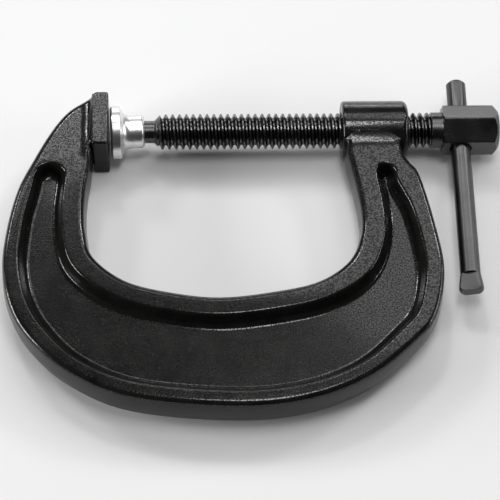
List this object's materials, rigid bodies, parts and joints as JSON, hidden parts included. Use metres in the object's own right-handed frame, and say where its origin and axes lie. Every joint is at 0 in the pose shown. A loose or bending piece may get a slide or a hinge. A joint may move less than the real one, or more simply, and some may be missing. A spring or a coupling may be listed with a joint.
{
  "type": "c clamp",
  "caption": "Forged C clamp with a threaded spindle, hexagon head, sliding tommy bar and tilting swivel pad, lying on its side.",
  "frame": {"origin": "centre of the anvil's working face, on the screw axis", "axes": "+X along the screw from the anvil towards the handle, +Y in the plane of the C from the spine towards the screw, +Z square to the C, up when the clamp lies on its side"},
  "size_m": [0.2489, 0.1824, 0.031],
  "materials": {
    "forged_black": "glossy black paint over slightly rough forging skin",
    "oxide_black": "oiled black oxide on machined steel",
    "bright_steel": "bright turned and polished steel",
    "spring_steel": "satin spring steel",
    "bar_black": "black oxide rod with rubbed grey highlights"
  },
  "bodies": {
    "frame": {"frame": "forged_black"},
    "carrier": {"pad_snap_ring": "spring_steel"},
    "screw": {"spindle": "oxide_black"},
    "pad": {"swivel_pad": "bright_steel"},
    "bar": {"tommy_bar": "bar_black"}
  },
  "joints": [
    {"name": "screw_travel", "type": "slide", "parent": "frame", "child": "carrier", "axis": [1, 0, 0], "range_m": [0, 0.09905]},
    {"name": "screw_turn", "type": "hinge", "parent": "carrier", "child": "screw", "pos_m": [0.00915, 0, 0], "axis": [1, 0, 0], "range_deg": [0, 10188]},
    {"name": "pad_tilt", "type": "hinge", "parent": "carrier", "child": "pad", "pos_m": [0.00915, 0, 0], "axis": [0, 0, 1], "range_deg": [-6, 1]},
    {"name": "bar_slide", "type": "slide", "parent": "screw", "child": "bar", "axis": [0, 1, 0], "range_m": [-0.005, 0.068]}
  ],
  "couplings": [
    {"joint": "screw_travel", "follows": "screw_turn", "m_per_rad": 0.00055704}
  ]
}
